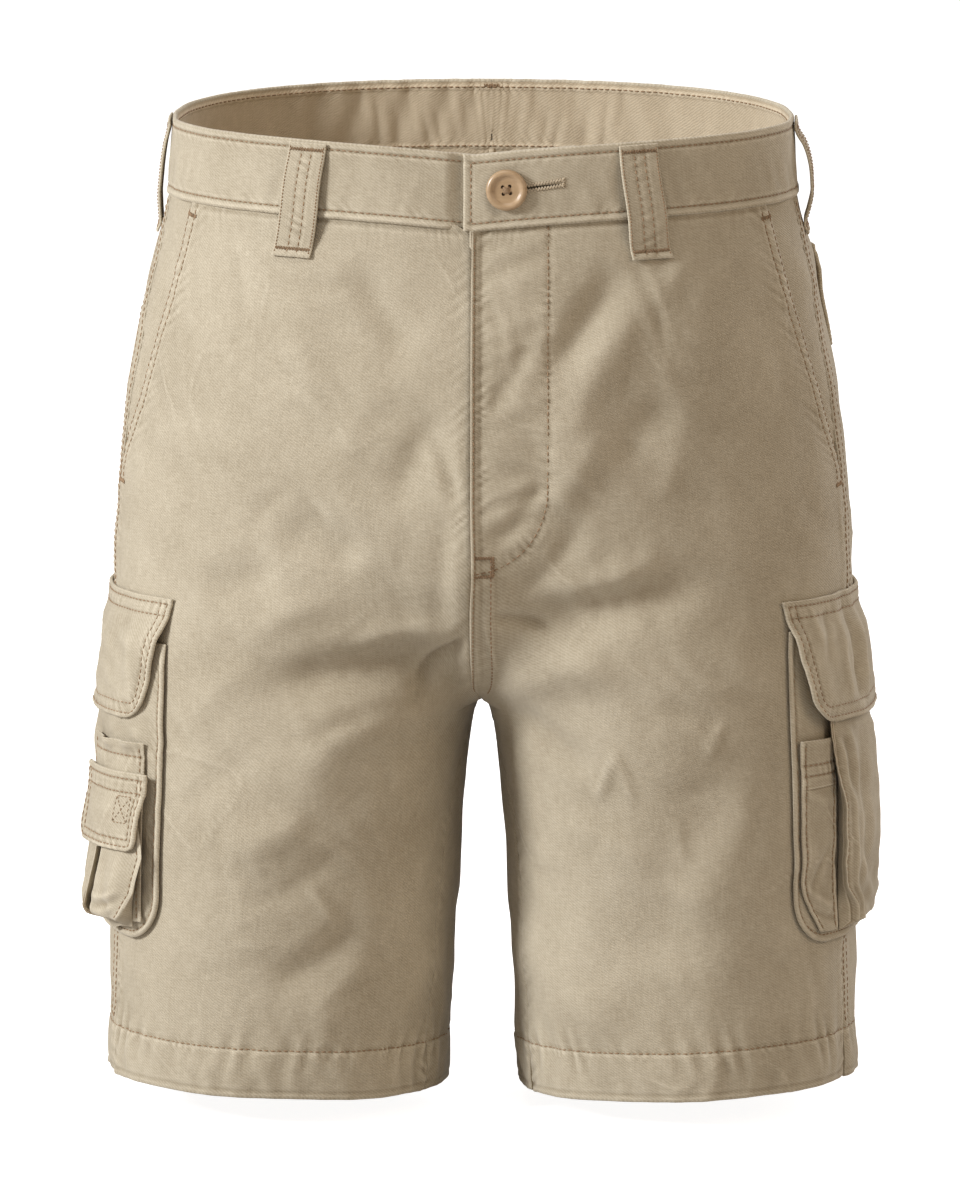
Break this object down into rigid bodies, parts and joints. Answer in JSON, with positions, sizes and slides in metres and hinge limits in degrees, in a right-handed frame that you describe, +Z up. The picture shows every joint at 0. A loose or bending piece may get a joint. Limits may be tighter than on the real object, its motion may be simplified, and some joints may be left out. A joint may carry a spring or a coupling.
{
  "type": "cargo shorts",
  "caption": "Khaki cotton cargo shorts filled out as worn, with belt loops, slant pockets and flapped cargo pockets on both legs.",
  "frame": {"origin": "centre of the waistband ring, halfway down the waistband at the sides, where the wearer's waist holds the shorts", "axes": "+Z up, -Y towards the front (fly and button), +X towards the wearer's left side"},
  "size_m": [0.4036, 0.2652, 0.4982],
  "materials": {
    "cotton_twill": "garment-washed cotton twill, matt",
    "cotton_twill_inner": "inner face of cotton twill, matt",
    "zip_tape": "woven polyester tape with coil teeth",
    "button_resin": "moulded resin, satin"
  },
  "bodies": {
    "root": {"front_left": "cotton_twill", "front_right": "cotton_twill", "back_left": "cotton_twill", "back_right": "cotton_twill", "waistband_left": "cotton_twill", "waistband_right": "cotton_twill", "belt_loop_front_left": "cotton_twill", "belt_loop_front_right": "cotton_twill", "belt_loop_side_left": "cotton_twill", "belt_loop_side_right": "cotton_twill", "belt_loop_back": "cotton_twill", "hip_facing_left": "cotton_twill", "hip_facing_right": "cotton_twill", "cargo_flap_left": "cotton_twill", "cargo_flap_right": "cotton_twill", "back_pocket_left": "cotton_twill", "back_pocket_right": "cotton_twill", "back_flap_left": "cotton_twill", "back_flap_right": "cotton_twill", "cargo_pocket_right": "cotton_twill", "slot_pocket_right": "cotton_twill", "small_bellows_right": "cotton_twill", "small_flap_right": "cotton_twill", "cargo_base_left": "cotton_twill", "bellows_pocket_left": "cotton_twill", "tool_pocket_left": "cotton_twill", "fly_facing": "cotton_twill_inner", "fly_shield": "cotton_twill_inner", "hip_bag_left": "cotton_twill_inner", "hip_bag_right": "cotton_twill_inner", "fly_zip": "zip_tape", "waist_button": "button_resin"}
  },
  "joints": []
}
